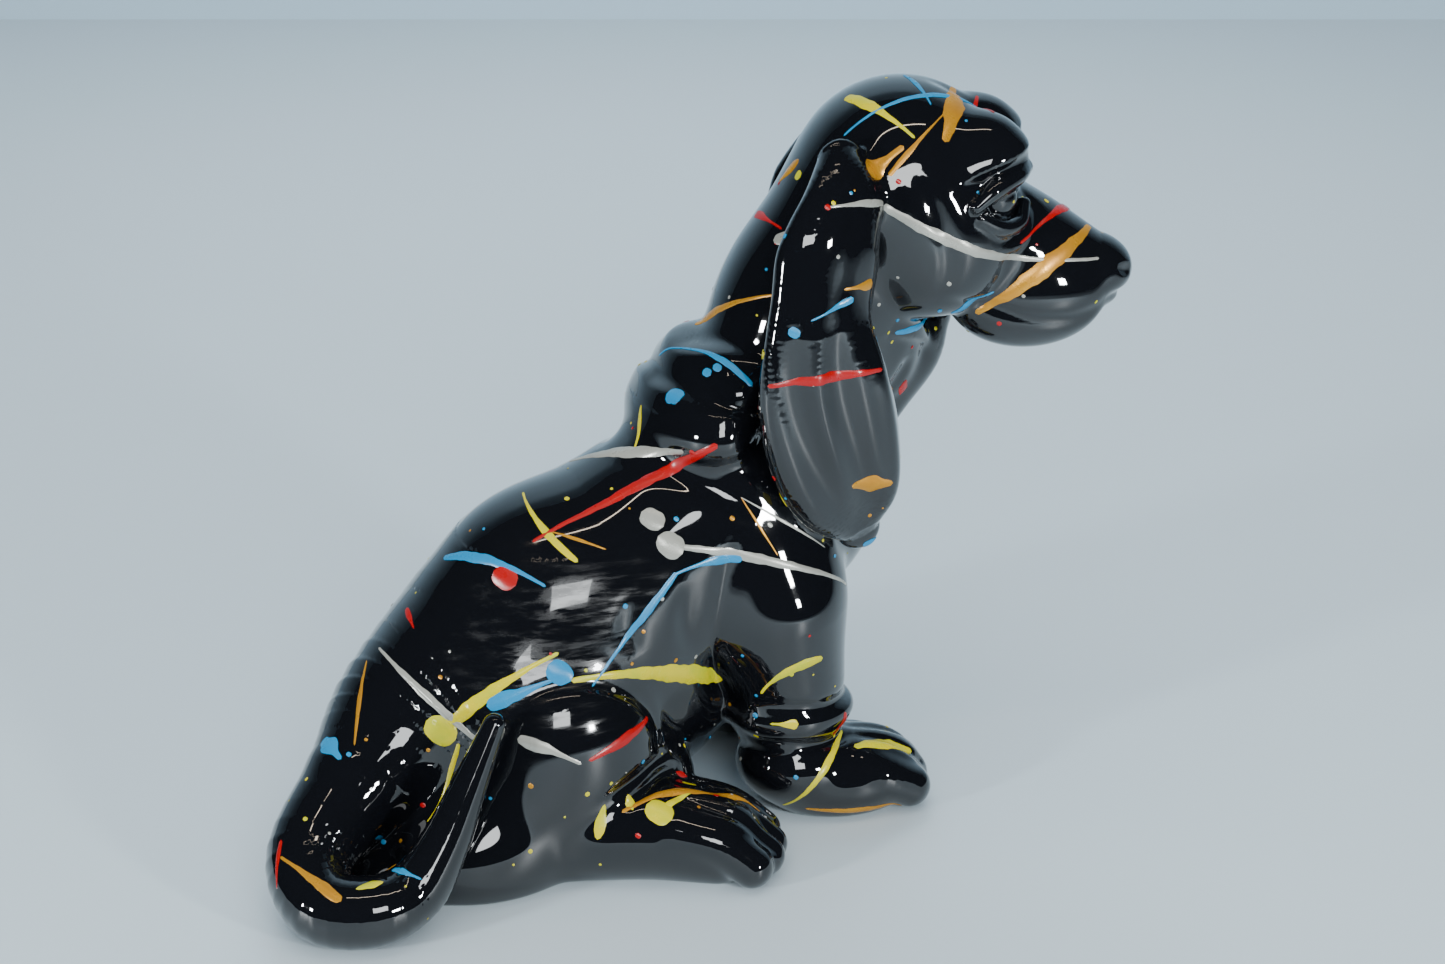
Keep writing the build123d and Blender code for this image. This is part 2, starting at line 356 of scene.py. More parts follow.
def make_head():
    form = Form("head", 16)
    form.add(head_ball(4, 0, 248, 43, 41, 42), 1)
    form.add(head_ball(-18, 0, 233, 27, 31, 34), 10)
    for root in (RIGHT_EAR_ROOT, LEFT_EAR_ROOT):
        form.add(ear_limb(root), 14)
    form.add(limb((head_spot(36, 0, 226), 28), (head_spot(58, 0, 219), 23),
                  (head_spot(80, 0, 212), 16)), 12)
    form.add(head_ball(86, 0, 214, 11, 13, 10), 6)                  # nose
    form.add(head_ball(58, 0, 198, 22, 14, 15), 8)                  # chin
    for side in (-1, 1):
        form.add(head_ball(34, 15 * side, 262, 19, 16, 18), 10)     # brow
        form.add(head_ball(55, 14 * side, 205, 31, 13, 20.5, turn=-6 * side), 7)   # flews
        form.add(head_ball(14, 24 * side, 230, 30, 18, 30), 12)     # cheek
        form.carve(head_ball(47, 31 * side, 248, 9, 11, 8, turn=30 * side), 5)     # eye socket
        form.add(head_ball(40, 24 * side, 248, 8.5, 9, 8), 1.5)     # eyeball
        form.add(limb((head_spot(52, 15 * side, 258), 3), (head_spot(48, 24 * side, 257), 3.8),
                      (head_spot(40, 32 * side, 254), 4), (head_spot(32, 37 * side, 248), 2.5)), 3)
        form.add(limb((head_spot(52, 17 * side, 244), 2.5), (head_spot(50, 24 * side, 239), 2.8),
                      (head_spot(43, 31 * side, 238), 3.5), (head_spot(34, 36 * side, 243), 2.5)), 3)
        forward_down = head_spot(1, 0, -1) - head_spot(0, 0, 0)
        form.layer(1.1, 1.4, 5, forward_down, head_spot(54, 16 * side, 238),
                   head_spot(52, 23 * side, 231), head_spot(46, 30 * side, 228),
                   head_spot(38, 35 * side, 231))                    # bag under the eye
        form.layer(2.2, 1.6, 6, forward_down, head_spot(53, 10 * side, 268),
                   head_spot(48, 22 * side, 266), head_spot(38, 32 * side, 262),
                   head_spot(26, 38 * side, 258))                    # fold over the brow
        form.crease(1.6, 2.5, head_spot(56, 10 * side, 250), head_spot(58, 16 * side, 240),
                    head_spot(56, 22 * side, 232))                  # beside the muzzle
        form.crease(1.6, 3, head_spot(88, 12 * side, 204), head_spot(74, 21 * side, 199),
                    head_spot(56, 26 * side, 200), head_spot(36, 29 * side, 206),
                    head_spot(20, 34 * side, 214))                  # line of the lips
        form.crease(2.2, 2.2, head_spot(97, 6 * side, 214), head_spot(95, 10 * side, 215),
                    head_spot(90, 13 * side, 217))                  # nostril
        form.crease(1.4, 4, head_spot(8, 38 * side, 262), head_spot(18, 42 * side, 244),
                    head_spot(22, 42 * side, 226), head_spot(18, 38 * side, 212))
    form.crease(2.8, 4.5, head_spot(14, 0, 291), head_spot(36, 0, 284), head_spot(50, 0, 270),
                head_spot(58, 0, 254))                              # between the brows
    form.crease(2.6, 2.6, head_spot(97, 0, 207), head_spot(92, 0, 200), head_spot(88, 0, 188))
    form.crease(2.4, 2.6, head_spot(86, -14, 205), head_spot(95, 0, 204), head_spot(86, 14, 205))
    return form


def make_ear(name, side, root, drop):
    """A limp ear in three lobes. drop gives (forward, right, up, half breadth) to the tip."""
    form = Form(name, 9)
    form.add(ear_limb(root + drop), 1)
    grooves = (
        (8.0, 6.0, (-0.6, -0.55, -0.45, -0.35, -0.2)),
        (8.0, 6.0, (0.05, 0.08, 0.12, 0.15, 0.15)),
        (-2.0, 4.0, (0.9, 0.8, 0.78, 0.75, 0.6)),
    )
    for depth, width, shares in grooves:
        places = [spot(f + share * w, r + 9 * side, z)
                  for share, (f, r, z, w) in zip(shares, drop)]
        form.crease(depth, width, *places)
    form.crease(1.2, 4, *[spot(f + 0.1 * w, r + 8 * side, z) for f, r, z, w in root + drop[:2]])
    return form


def make_foreleg(name, side):
    form = Form(name, 10)

    def leg(f, r, z):
        return spot(f, r * side, z)

    form.add(ball(leg(6, 33, 92), 32, 22, 40), 1)
    form.add(limb((leg(9, 34, 86), 26), (leg(12, 34, 62), 24.5), (leg(13, 34, 44), 23.5)), 10)
    form.add(ball(leg(14, 35, 44), 26.5, 24, 10), 6)                # roll over the ankle
    form.add(ball(leg(16, 37, 20), 24.5, 24, 18), 6)                # heel
    form.add(ball(leg(34, 42, 13), 34, 24, 19, turn=10 * side), 6)
    for toe in range(4):
        across = (toe - 1.5) * 10
        length = 63 - abs(toe - 1.5) * 4
        form.add(limb((leg(34, 41 + across * 0.8, 19), 9), (leg(length - 13, 43 + across, 16), 9.5),
                      (leg(length, 44 + across, 9), 9)), 3)
    for groove in (-10, 0, 10):
        form.crease(2, 2, leg(36, 42 + groove * 0.7, 32), leg(48, 43 + groove * 0.85, 27),
                    leg(60, 44 + groove, 20), leg(70, 44 + groove, 12))
    form.crease(1.4, 2.8, leg(-10, 46, 54), leg(2, 57, 54), leg(20, 58, 52), leg(36, 46, 51),
                leg(38, 30, 51))
    form.crease(2.2, 2.4, leg(-10, 46, 36), leg(4, 58, 35), leg(22, 60, 34), leg(38, 48, 34))
    return form


def make_hind_leg(name, side):
    form = Form(name, 10)

    def leg(f, r, z):
        return spot(f, r * side, z)

    form.add(ball(leg(-84, 44, 44), 36, 25, 41), 1)
    form.add(ball(leg(-103, 42, 26), 34, 24, 32), 12)
    form.add(ball(leg(-118, 44, 14), 38, 26, 24), 12)
    form.add(ball(leg(-53, 39, 24), 22, 20, 26), 16)
    form.add(limb((leg(-84, 51, 16), 20), (leg(-58, 64, 17), 19.5), (leg(-36, 75, 14), 18.5)), 8)
    for toe in range(4):
        across = (toe - 1.5) * 9.5
        length = abs(toe - 1.5) * -3.5

        def pad(reach, up):
            return leg(-17 + reach * 0.857 - across * 0.515, 83 + reach * 0.515 + across * 0.857, up)

        form.add(limb((pad(length - 30, 22), 9), (pad(length - 13, 18), 9), (pad(length, 9), 8.5)), 3)
    for groove in (-9.5, 0, 9.5):
        form.crease(2, 2, *[leg(-17 + reach * 0.857 - groove * 0.515,
                                83 + reach * 0.515 + groove * 0.857, up)
                            for reach, up in ((-38, 36), (-24, 30), (-10, 25), (2, 18), (9, 10))])
    # the thigh's upper edge, the folds over the hock and the one in front of it
    form.crease(3.2, 3.5, leg(-120, 48, 66), leg(-112, 49, 76), leg(-100, 52, 82),
                leg(-84, 55, 83), leg(-68, 56, 78), leg(-56, 54, 69), leg(-50, 53, 56),
                leg(-54, 57, 46))
    form.crease(2.2, 2.2, leg(-80, 70, 38), leg(-66, 66, 42), leg(-56, 60, 44), leg(-48, 55, 44))
    form.crease(2.0, 2.2, leg(-74, 71, 33), leg(-62, 67, 37), leg(-52, 61, 39), leg(-44, 57, 38))
    return form


def make_tail():
    form = Form("tail", 3)
    form.add(limb(*TAIL_ROOT, *TAIL_REST), 1)
    return form


forms = [
    make_torso(),
    make_head(),
    make_foreleg("right_foreleg", 1),
    make_foreleg("left_foreleg", -1),
    make_hind_leg("right_hind_leg", 1),
    make_hind_leg("left_hind_leg", -1),
    make_tail(),
    make_ear("right_ear", 1, RIGHT_EAR_ROOT, RIGHT_EAR_DROP),
    make_ear("left_ear", -1, LEFT_EAR_ROOT, LEFT_EAR_DROP),
]
VENT = spot(-119, 0, 0)     # kiln vent in the seat
VENT_RADIUS = 6
VENT_DEPTH = 14
SOLE_ROUNDING = 3


def hound(points):
    """Distance from the whole figurine, standing flat on the table."""
    out = np.full(len(points), FAR)
    for form in forms:
        low, high = form.corners()
        near = np.all((points >= low) & (points <= high), axis=1)
        if near.any():
            out[near] = join(out[near], form(points[near]), form.fillet)
    below = -points[:, 2]
    out = -join(-out, -below, SOLE_ROUNDING)
    radial = np.hypot(points[:, 0] - VENT[0], points[:, 1] - VENT[1]) - VENT_RADIUS
    vent = np.maximum(radial, points[:, 2] - VENT_DEPTH)
    return -join(-out, vent, 2)


# ------------------------------------------------------------------ from distances to meshes
VOXEL = 1.2
BLOCK = 8               # voxels along a block's side


def skin_of_hound():
    """Vertices and quads of the hound's surface, and each vertex's exact normal."""
    lows, highs = zip(*[form.corners() for form in forms])
    low = np.min(lows, 0) - 4
    high = np.max(highs, 0)
    low[2] = -4 * VOXEL
    side = VOXEL * BLOCK
    blocks = np.ceil((high - low) / side).astype(int)
    index = np.stack(np.meshgrid(*[np.arange(n) for n in blocks], indexing="ij"), -1).reshape(-1, 3)
    middle = low + (index + 0.5) * side
    rough = hound(middle)
    grid = np.full(blocks * BLOCK, FAR, np.float32)
    cells = grid.reshape(blocks[0], BLOCK, blocks[1], BLOCK, blocks[2], BLOCK)
    inside = index[rough < 0]
    cells[inside[:, 0], :, inside[:, 1], :, inside[:, 2], :] = -FAR
    near = index[np.abs(rough) < side * 1.3]
    inner = np.stack(np.meshgrid(*[np.arange(BLOCK)] * 3, indexing="ij"), -1).reshape(-1, 3)
    points = low + (near[:, None, :] * BLOCK + inner[None]).reshape(-1, 3) * VOXEL
    values = hound(points).reshape(len(near), BLOCK, BLOCK, BLOCK)
    cells[near[:, 0], :, near[:, 1], :, near[:, 2], :] = values
    volume = openvdb.FloatGrid(FAR)
    volume.copyFromArray(grid)
    vertices, quads = volume.convertToQuads(isovalue=0.0)
    vertices = low + vertices.astype(float) * VOXEL
    vertices = settle(hound, vertices, 2, limit=VOXEL / 2)
    normals = slope_of(hound, vertices)
    normals /= np.linalg.norm(normals, axis=1)[:, None] + 1e-9
    return vertices, quads.astype(int), normals


def owners(points):
    """The number of the form that each point belongs to. Near a joint the later one wins."""
    return np.argmin([form(points) - 0.15 * number for number, form in enumerate(forms)], axis=0)


SHELL = 2.2             # thickness of the drawn castings


def build_mesh(name, vertices, faces, normals):
    """A smooth mesh object in the row frame, with its own normals."""
    mesh = bpy.data.meshes.new(name)
    mesh.from_pydata(to_row(vertices).tolist(), [], faces.tolist())
    mesh.validate()
    mesh.shade_smooth()
    mesh.normals_split_custom_set_from_vertices(normals.tolist())
    obj = bpy.data.objects.new(name, mesh)
    bpy.context.scene.collection.objects.link(obj)
    return obj


def tidy_owners(quads, owner, count, rounds=8):
    """Owners after neighbours have voted, which drops strays and evens the joint lines."""
    for _ in range(rounds):
        votes = np.zeros((count, len(forms)))
        for corner in range(4):
            np.add.at(votes, (quads[:, corner], owner), 1)
        owner = votes[quads].sum(1).argmax(1)
    return owner


def shell_piece(name, vertices, quads, normals):
    """One casting: its share of the skin, an inner skin and a rim between the two."""
    used, local = np.unique(quads, return_inverse=True)
    local = local.reshape(-1, 4)
    count = len(used)
    outer = vertices[used]
    normal = normals[used]
    inner = outer - normal * SHELL
    edges = np.concatenate([local[:, [k, (k + 1) % 4]] for k in range(4)])
    keys = np.sort(edges, axis=1)
    _, first, times = np.unique(keys, axis=0, return_index=True, return_counts=True)
    rim = edges[first[times == 1]]
    rim_quads = np.stack([rim[:, 1], rim[:, 0], rim[:, 0] + count, rim[:, 1] + count], 1)
    faces = np.concatenate([local, local[:, ::-1] + count, rim_quads])
    return build_mesh(name, np.concatenate([outer, inner]), faces,
                      np.concatenate([normal, -normal]))


def make_castings():
    """Every casting as its own piece, all cut from one skin so that the joints don't show."""
    vertices, quads, normals = skin_of_hound()
    owner = tidy_owners(quads, owners(vertices[quads].mean(1)), len(vertices))
    pieces = {}
    for number, form in enumerate(forms):
        mine = quads[owner == number]
        pieces[form.name] = shell_piece(form.name + "_casting", vertices, mine, normals)
    return pieces


CAMERA_SIDE = 246       # degrees round the hound, 270 is square on to its right side
CAMERA_RISE = 22


def view_axis(side, rise=0):
    """From the hound towards a viewer at that side and rise."""
    a, e = math.radians(side), math.radians(rise)
    return np.array([math.sin(a) * math.cos(e), -math.cos(a) * math.cos(e), math.sin(e)])


# ------------------------------------------------------------------ flung enamel
# Each line is a colour, where the stroke starts (forward, right, up), the way it sets
# off (forward, right, up), its length, how far it turns in degrees (left is positive),
# its greatest width and how far along that is, from 0 to 1. A length of nought is a drop.
# A start is near the glaze, and the stroke runs over the glaze from there.
FLUNG = [
    # head
    ("blue", (40, 20, 275), (3, 0, 1), 85, -20, 2.6, 0.6),
    ("blue", (75, 5, 290), (0, 1, 0), 25, 0, 2.0, 0.4),
    ("yellow", (50, 5, 285), (1, 5, 0), 38, 0, 5.0, 0.25),
    ("gold", (95, 10, 285), (-1, 2, 0), 40, 0, 8.0, 0.55),
    ("red", (105, 10, 280), (-1, 2, 0), 28, 0, 3.0, 0.5),
    ("gold", (80, 30, 280), (-2, 1, -1), 38, 0, 2.2, 0.8),
    ("gold", (45, 40, 265), (3, 0, 1), 20, 0, 8.5, 0.15),
    ("silver", (20, 50, 255), (1, 0, 0), 30, -5, 3.0, 0.7),
    ("silver", (50, 45, 250), (3, 0, -2), 100, 38, 4.4, 0.3),
    ("red", (135, 30, 235), (-2, 1, -1), 40, 0, 4.0, 0.15),
    ("gold", (140, 40, 230), (-4, 1, -3), 65, 0, 7.0, 0.5),
    ("blue", (80, 40, 205), (2, 1, 1), 20, 0, 3.4, 0.3),
    ("blue", (60, 30, 195), (2, -1, 0), 32, 0, 2.6, 0.3),
    ("red", (70, 20, 170), (0, 0, -1), 8, 0, 5.0, 0.4),
    # neck and withers
    ("gold", (30, 0, 260), (-1, -1, -1), 12, 0, 5.0, 0.4),
    ("yellow", (30, 5, 255), (0, 0, 0), 0, 0, 3.8, 0.5),
    ("yellow", (30, 15, 255), (0, 0, 0), 0, 0, 3.8, 0.5),
    ("red", (15, -10, 240), (0, 1, 0), 22, 0, 3.6, 0.1),
    ("silver", (15, 15, 235), (0, 3, 2), 22, 0, 6.0, 0.2),
    ("gold", (-5, -15, 195), (1, 4, 3), 65, -10, 3.6, 0.1),
    ("blue", (-25, -10, 185), (2, 3, 2), 52, -30, 2.6, 0.8),
    ("blue", (-25, 15, 175), (0, 0, 0), 0, 0, 7.5, 0.5),
    ("blue", (-15, 20, 185), (0, 0, 0), 0, 0, 3.4, 0.5),
    ("blue", (-10, 20, 185), (0, 0, 0), 0, 0, 3.2, 0.5),
    ("red", (0, 30, 175), (0, 0, 0), 0, 0, 3.6, 0.5),
    ("yellow", (-40, 0, 170), (0, 1, -2), 18, 0, 2.4, 0.4),
    # right ear
    ("blue", (0, 45, 205), (0, 0, 0), 0, 0, 5.0, 0.5),
    ("yellow", (0, 50, 200), (0, 0, 0), 0, 0, 5.0, 0.5),
    ("gold", (25, 60, 225), (1, 0, 0), 14, 0, 4.2, 0.9),
    ("blue", (10, 60, 215), (3, 0, 1), 20, 0, 2.8, 0.9),
    ("blue", (5, 55, 210), (0, 0, 0), 0, 0, 4.0, 0.5),
    ("red", (-5, 55, 190), (1, 0, 0), 50, 0, 4.2, 0.5),
    ("yellow", (5, 50, 145), (0, 0, -1), 6, 0, 4.0, 0.6),
    ("gold", (30, 60, 145), (1, 0, 0), 16, 0, 7.5, 0.5),
    ("blue", (40, 50, 115), (1, 0, 0), 8, 0, 5.0, 0.3),
    # shoulder and back
    ("silver", (-60, -15, 145), (2, 3, 1), 55, 0, 5.4, 0.5),
    ("red", (-90, 25, 130), (2, 0, 1), 85, -10, 4.8, 0.65),
    ("yellow", (-85, 0, 140), (-1, 3, 0), 42, 40, 3.2, 0.7),
    ("gold", (-85, 25, 135), (3, 1, -2), 26, 0, 1.3, 0.5),
    ("blue", (-120, 0, 120), (2, 3, 1), 50, -25, 4.2, 0.35),
    ("red", (-105, 30, 120), (0, 0, 0), 0, 0, 8.6, 0.5),
    ("red", (-135, 0, 100), (-1, 3, 0), 14, 0, 2.6, 0.3),
    ("silver", (-150, 5, 90), (1, 3, -1), 60, 0, 3.4, 0.6),
    ("gold", (-155, 5, 85), (-1, 3, -3), 36, 0, 1.8, 0.5),
    ("blue", (-175, 20, 60), (1, 2, -1), 12, 0, 7.5, 0.3),
    # flank
    ("silver", (-45, 35, 135), (0, 0, 0), 0, 0, 8.0, 0.5),
    ("silver", (-40, 40, 125), (0, 0, 0), 0, 0, 9.5, 0.5),
    ("silver", (-40, 40, 125), (3, 0, -1), 85, 0, 3.8, 0.4),
    ("silver", (-10, 40, 140), (3, 1, -2), 42, 0, 1.1, 0.5),
    ("gold", (-10, 40, 140), (1, 1, -2), 28, 0, 1.0, 0.5),
    ("blue", (-40, 45, 115), (3, 0, 1), 28, -25, 4.0, 0.8),
    ("blue", (-40, 45, 115), (-1, 0, -1), 56, 0, 3.0, 0.3),
    ("blue", (-90, 50, 85), (0, 0, 0), 0, 0, 8.8, 0.5),
    # along the top of the thigh and on over the belly
    ("yellow", (-135, 40, 65), (0, 0, 0), 0, 0, 10.5, 0.5),
    ("yellow", (-135, 40, 65), (2, 1, 2), 56, -20, 5.4, 0.3),
    ("yellow", (-85, 50, 80), (1, 0, 0), 75, -30, 8.0, 0.7),
    ("blue", (-115, 45, 75), (2, 1, 1), 28, 0, 6.0, 0.15),
    ("yellow", (-130, 45, 60), (-1, 0, -3), 34, 0, 2.0, 0.25),
    # thigh and hind paw
    ("silver", (-110, 60, 65), (3, 1, -1), 26, -15, 5.0, 0.2),
    ("red", (-85, 65, 55), (4, -1, 1), 34, 0, 4.2, 0.5),
    ("yellow", (-80, 70, 35), (-1, 0, -3), 12, 0, 5.0, 0.6),
    ("yellow", (-70, 65, 35), (0, 0, -1), 7, 0, 4.5, 0.4),
    ("yellow", (-60, 75, 30), (0, 0, 0), 0, 0, 9.4, 0.5),
    ("yellow", (-60, 75, 30), (2, -1, 0), 24, 0, 3.0, 0.2),
    ("gold", (-15, 75, 25), (-6, 1, 0), 62, 35, 4.4, 0.5),
    ("red", (-45, 55, 35), (2, 0, -1), 8, 0, 2.6, 0.5),
    # right foreleg and paw
    ("yellow", (-5, 50, 60), (1, 1, 3), 32, -75, 4.2, 0.7),
    ("yellow", (0, 50, 45), (2, 1, 0), 9, 0, 4.0, 0.95),
    ("red", (30, 55, 45), (0, 0, -1), 12, 0, 4.4, 0.4),
    ("yellow", (35, 50, 35), (-3, 1, -2), 48, 10, 3.0, 0.4),
    ("yellow", (35, 55, 30), (1, 0, 0), 28, 0, 7.0, 0.5),
    ("gold", (10, 60, 5), (4, 0, 1), 42, -25, 3.4, 0.5),
    # tail
    ("red", (-200, 45, 35), (-1, 2, -2), 18, 0, 2.0, 0.3),
    ("gold", (-200, 50, 30), (1, 3, 0), 30, 0, 4.4, 0.8),
    ("yellow", (-180, 75, 25), (1, 0, 0), 9, 0, 4.0, 0.6),
    ("blue", (-165, 70, 30), (2, 3, -1), 12, 0, 3.0, 0.2),
]
# how far each enamel stands off the glaze, the last flung being the highest
LIFT = {"yellow": 0.02, "gold": 0.05, "silver": 0.08, "red": 0.11, "blue": 0.16}
WALK = 3.0              # length of a step over the glaze
PAINT_STEP = 0.8        # spacing of the vertices along a stroke
PAINT_DEPTH = 0.4       # how far a stroke's underside is below the glaze
EDGE = 0.03             # how far a stroke's edge stands off the glaze
ACROSS = np.sin(np.linspace(-1, 1, 9) * math.pi / 2)


def unit(vectors):
    return vectors / (np.linalg.norm(vectors, axis=-1, keepdims=True) + 1e-9)


def walk(starts, ways, turns, steps):
    """Paths over the glaze from the starts, turning by so many radians each step."""
    places = settle(hound, starts, 5, limit=6)
    paths = [places]
    for _ in range(steps):
        normals = unit(slope_of(hound, places))
        ways = unit(ways - normals * np.einsum("ij,ij->i", ways, normals)[:, None])
        ways = unit(ways + np.cross(normals, ways) * turns[:, None])
        places = settle(hound, places + ways * WALK, 2, limit=4)
        paths.append(places)
    return np.array(paths)


def taper(share, widest):
    """A stroke's width along it, as a share of its greatest width."""
    return 0.25 + 0.75 * np.exp(-((share - widest) / 0.35) ** 2)


def flung_strokes():
    """The strokes listed above, as a colour and rows of place and width."""
    lengths = np.array([line[3] for line in FLUNG], float)
    starts = np.array([spot(*line[1]) for line in FLUNG])
    ways = np.array([spot(*line[2]) for line in FLUNG])
    turns = np.radians([line[4] for line in FLUNG]) * WALK / np.maximum(lengths, WALK)
    paths = walk(starts, ways, turns, int(lengths.max() / WALK))
    strokes = []
    for number, (colour, _, _, length, _, width, widest) in enumerate(FLUNG):
        places = paths[:int(length / WALK) + 1, number]
        share = np.linspace(0, 1, len(places))
        widths = width * (taper(share, widest) if length else np.ones(len(places)))
        strokes.append((colour, np.column_stack([places, widths])))
    return strokes


RUNS = [0, 1, 3, 6, 10, 15, 22]     # steps that a chance stroke may take
CHANCE_STROKES = 340


def chance_strokes(count):
    """Small drops all over, and longer strokes on the sides that have none listed."""
    chance = random.Random(7)
    facing = view_axis(CAMERA_SIDE, CAMERA_RISE)
    tries = np.array([spot(chance.uniform(-195, 145), chance.uniform(-90, 85),
                           chance.uniform(10, 288)) for _ in range(count * 12)])
    starts = tries[np.abs(hound(tries)) < 10][:count]
    ways = np.array([[chance.gauss(0, 1) for _ in range(3)] for _ in starts])
    turns = np.array([chance.gauss(0, 0.08) for _ in starts])
    plans = [(chance.choice(["yellow", "yellow", "red", "blue", "silver", "gold"]),
              chance.choice(RUNS), chance.uniform(2.2, 7),
              chance.random(), chance.uniform(0.7, 2.0)) for _ in starts]
    paths = walk(starts, ways, turns, max(RUNS))
    normals = unit(slope_of(hound, paths.reshape(-1, 3))).reshape(paths.shape)
    hidden = (normals @ facing < -0.1) & (paths[..., 2] > 4)
    strokes = []
    for number, (colour, steps, width, widest, small) in enumerate(plans):
        unseen = hidden[:steps + 1, number]
        run = steps + 1 if unseen.all() else int(np.argmin(unseen))
        if run == 0:
            run, width, widest = 1, small, 0.5
        if paths[0, number, 2] < 4:
            continue
        share = np.linspace(0, 1, run)
        widths = width * (taper(share, widest) if run > 1 else np.ones(1))
        strokes.append((colour, np.column_stack([paths[:run, number], widths])))
    return strokes


def wander(chance, along, reach):
    """A random wave of about unit height along a stroke."""
    return sum(np.sin(along / reach * (k + 1) * 1.7 + chance.uniform(0, 6.3)) / (k + 1)
               for k in range(3)) / 1.4


def centre_line(rows):
    """Evenly spaced rows of place and width along a stroke, run out past both ends."""
    if len(rows) == 1:
        ends = np.array([[0.4, 0.4, 0.3, 0], [-0.4, -0.4, -0.3, 0]]) * rows[0, 3]
        rows = rows + ends
    else:
        rows = smooth_rows(rows, 4)
        first = rows[0, :3] + unit(rows[0, :3] - rows[2, :3]) * rows[0, 3] / 2
        last = rows[-1, :3] + unit(rows[-1, :3] - rows[-3, :3]) * rows[-1, 3] / 2
        rows = np.vstack([[*first, rows[0, 3]], rows, [*last, rows[-1, 3]]])
    along = np.concatenate([[0], np.cumsum(np.linalg.norm(np.diff(rows[:, :3], axis=0), axis=1))])
    even = np.linspace(0, along[-1], max(int(along[-1] / PAINT_STEP), 8) + 1)
    return np.stack([np.interp(even, along, rows[:, k]) for k in range(4)], 1), even


def half_widths(width, along, chance):
    """Half widths to the left and the right of a stroke, with round ends and ragged sides."""
    half = width / 2
    from_end = np.minimum(along, along[-1] - along)
    reach = np.maximum(np.where(along < along[-1] / 2, half[0], half[-1]), 0.2)
    cap = np.clip(from_end / reach, 0, 1)
    half = half * np.sqrt(np.maximum(1 - (1 - cap) ** 2, 1e-4))
    ragged = 0.05 if along[-1] < 1.5 * width.max() else 0.11
    return [half * (1 + ragged * wander(chance, along, 3.5)) for _ in range(2)]


def stroke_mesh(place, normal, side, top):
    """A closed strip: its domed upper side, its underside and the edge between them."""
    rows, columns = top.shape
    number = np.arange(rows * columns).reshape(rows, columns)
    lower = number + rows * columns
    upper_faces = np.stack([number[:-1, :-1], number[:-1, 1:], number[1:, 1:], number[1:, :-1]], -1)
    lower_faces = np.stack([lower[:-1, :-1], lower[1:, :-1], lower[1:, 1:], lower[:-1, 1:]], -1)
    rim = np.concatenate([number[0, :-1], number[:-1, -1], number[-1, :0:-1], number[:0:-1, 0]])
    after = np.roll(rim, -1)
    edge = np.stack([after, rim, rim + rows * columns, after + rows * columns], 1)
    lean = unit(normal + side * (ACROSS * 0.35)[None, :, None])
    vertices = np.concatenate([(place + normal * top[..., None]).reshape(-1, 3),
                               (place - normal * PAINT_DEPTH).reshape(-1, 3)])
    normals = np.concatenate([lean.reshape(-1, 3), -normal.reshape(-1, 3)])
    faces = np.concatenate([upper_faces.reshape(-1, 4), lower_faces.reshape(-1, 4), edge])
    return vertices, faces[:, ::-1], normals


def make_paint(strokes):
    """One piece of flung enamel for each colour."""
    chance = random.Random(12)
    lines = [centre_line(rows) for _, rows in strokes]
    cuts = np.cumsum([len(rows) for rows, _ in lines])[:-1]
    middles = settle(hound, np.concatenate([rows[:, :3] for rows, _ in lines]), 3, limit=4)
    normals = unit(slope_of(hound, middles))
    grids, sides, tops = [], [], []
    for (rows, along), middle, normal, (colour, _) in zip(
            lines, np.split(middles, cuts), np.split(normals, cuts), strokes):
        side = unit(np.cross(normal, np.gradient(middle, axis=0)))
        left, right = half_widths(rows[:, 3], along, chance)
        reach = np.where(ACROSS < 0, left[:, None], right[:, None]) * ACROSS
        grids.append(middle[:, None] + side[:, None] * reach[..., None])
        sides.append(np.repeat(side[:, None], len(ACROSS), axis=1))
        thick = np.clip(0.1 + 0.045 * rows[:, 3], 0.12, 0.42) * np.clip(left / 0.6, 0, 1)
        tops.append(LIFT[colour] + EDGE + thick[:, None] * np.sqrt(1 - ACROSS ** 2))
    flat = settle(hound, np.concatenate([grid.reshape(-1, 3) for grid in grids]), 2, limit=1.5)
    normals = unit(slope_of(hound, flat))
    gathered = {colour: [] for colour in LIFT}
    start = 0
    for (colour, _), side, top in zip(strokes, sides, tops):
        end = start + top.size
        gathered[colour].append(stroke_mesh(
            flat[start:end].reshape(side.shape), normals[start:end].reshape(side.shape), side, top))
        start = end
    pieces = {}
    for colour, meshes in gathered.items():
        starts = np.cumsum([0] + [len(vertices) for vertices, _, _ in meshes])
        pieces[colour] = build_mesh(
            "paint_" + colour,
            np.concatenate([vertices for vertices, _, _ in meshes]),
            np.concatenate([faces + first for (_, faces, _), first in zip(meshes, starts)]),
            np.concatenate([normals for _, _, normals in meshes]))
    return pieces


# ------------------------------------------------------------------ materials
def new_material(name):
    """A material, its shader and a function that adds a node with given inputs."""
    material = bpy.data.materials.new(name)
    material.use_nodes = True
    tree = material.node_tree
    shader = tree.nodes["Principled BSDF"]

    def add(kind, **inputs):
        node = tree.nodes.new(kind)
        for key, value in inputs.items():
            node.inputs[key.replace("_", " ")].default_value = value
        return node

    return material, shader, add, tree.links.new


WIPED = spot(-92, 46, 96)     # middle of the wiping marks


